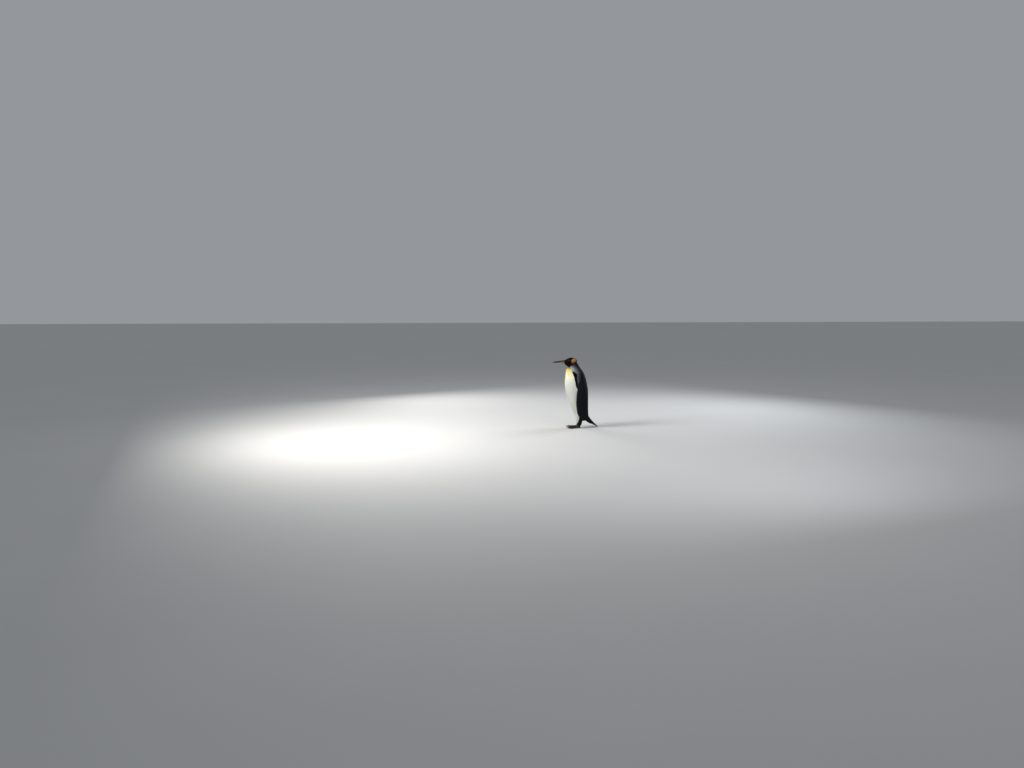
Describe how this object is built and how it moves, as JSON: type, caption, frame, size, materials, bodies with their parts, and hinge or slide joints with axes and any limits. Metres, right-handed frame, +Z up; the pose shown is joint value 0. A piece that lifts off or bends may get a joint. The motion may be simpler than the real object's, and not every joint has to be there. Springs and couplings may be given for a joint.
{
  "type": "king penguin",
  "caption": "Still life-size model of an adult king penguin standing upright on both webbed feet and its tail, flippers hanging, bill level.",
  "frame": {"origin": "on the floor under the middle of the bird's box", "axes": "+Z up, the bird faces -Y, its left side is +X"},
  "size_m": [0.2826, 0.5174, 0.7719],
  "materials": {
    "hood_feathers": "dense short black feathers",
    "neck_feathers": "short silver-grey feathers, yellow in front",
    "body_feathers": "short white feathers",
    "back_feathers": "short blue-black feathers with grey tips",
    "bill_horn": "smooth black horn",
    "bill_plate": "smooth pink-orange horn plate, black towards the tip",
    "eye": "wet dark brown",
    "foot_skin": "black scaly skin",
    "claw_horn": "worn black horn"
  },
  "bodies": {
    "root": {"head": "hood_feathers", "neck": "neck_feathers", "trunk": "body_feathers", "tail": "back_feathers", "bill_upper": "bill_horn", "bill_lower": "bill_plate", "eye_left": "eye", "flipper_left": "back_feathers", "leg_left": "body_feathers", "foot_left": "foot_skin", "claw_inner_left": "claw_horn", "claw_middle_left": "claw_horn", "claw_outer_left": "claw_horn", "claw_hind_left": "claw_horn", "eye_right": "eye", "flipper_right": "back_feathers", "leg_right": "body_feathers", "foot_right": "foot_skin", "claw_inner_right": "claw_horn", "claw_middle_right": "claw_horn", "claw_outer_right": "claw_horn", "claw_hind_right": "claw_horn"}
  },
  "joints": []
}
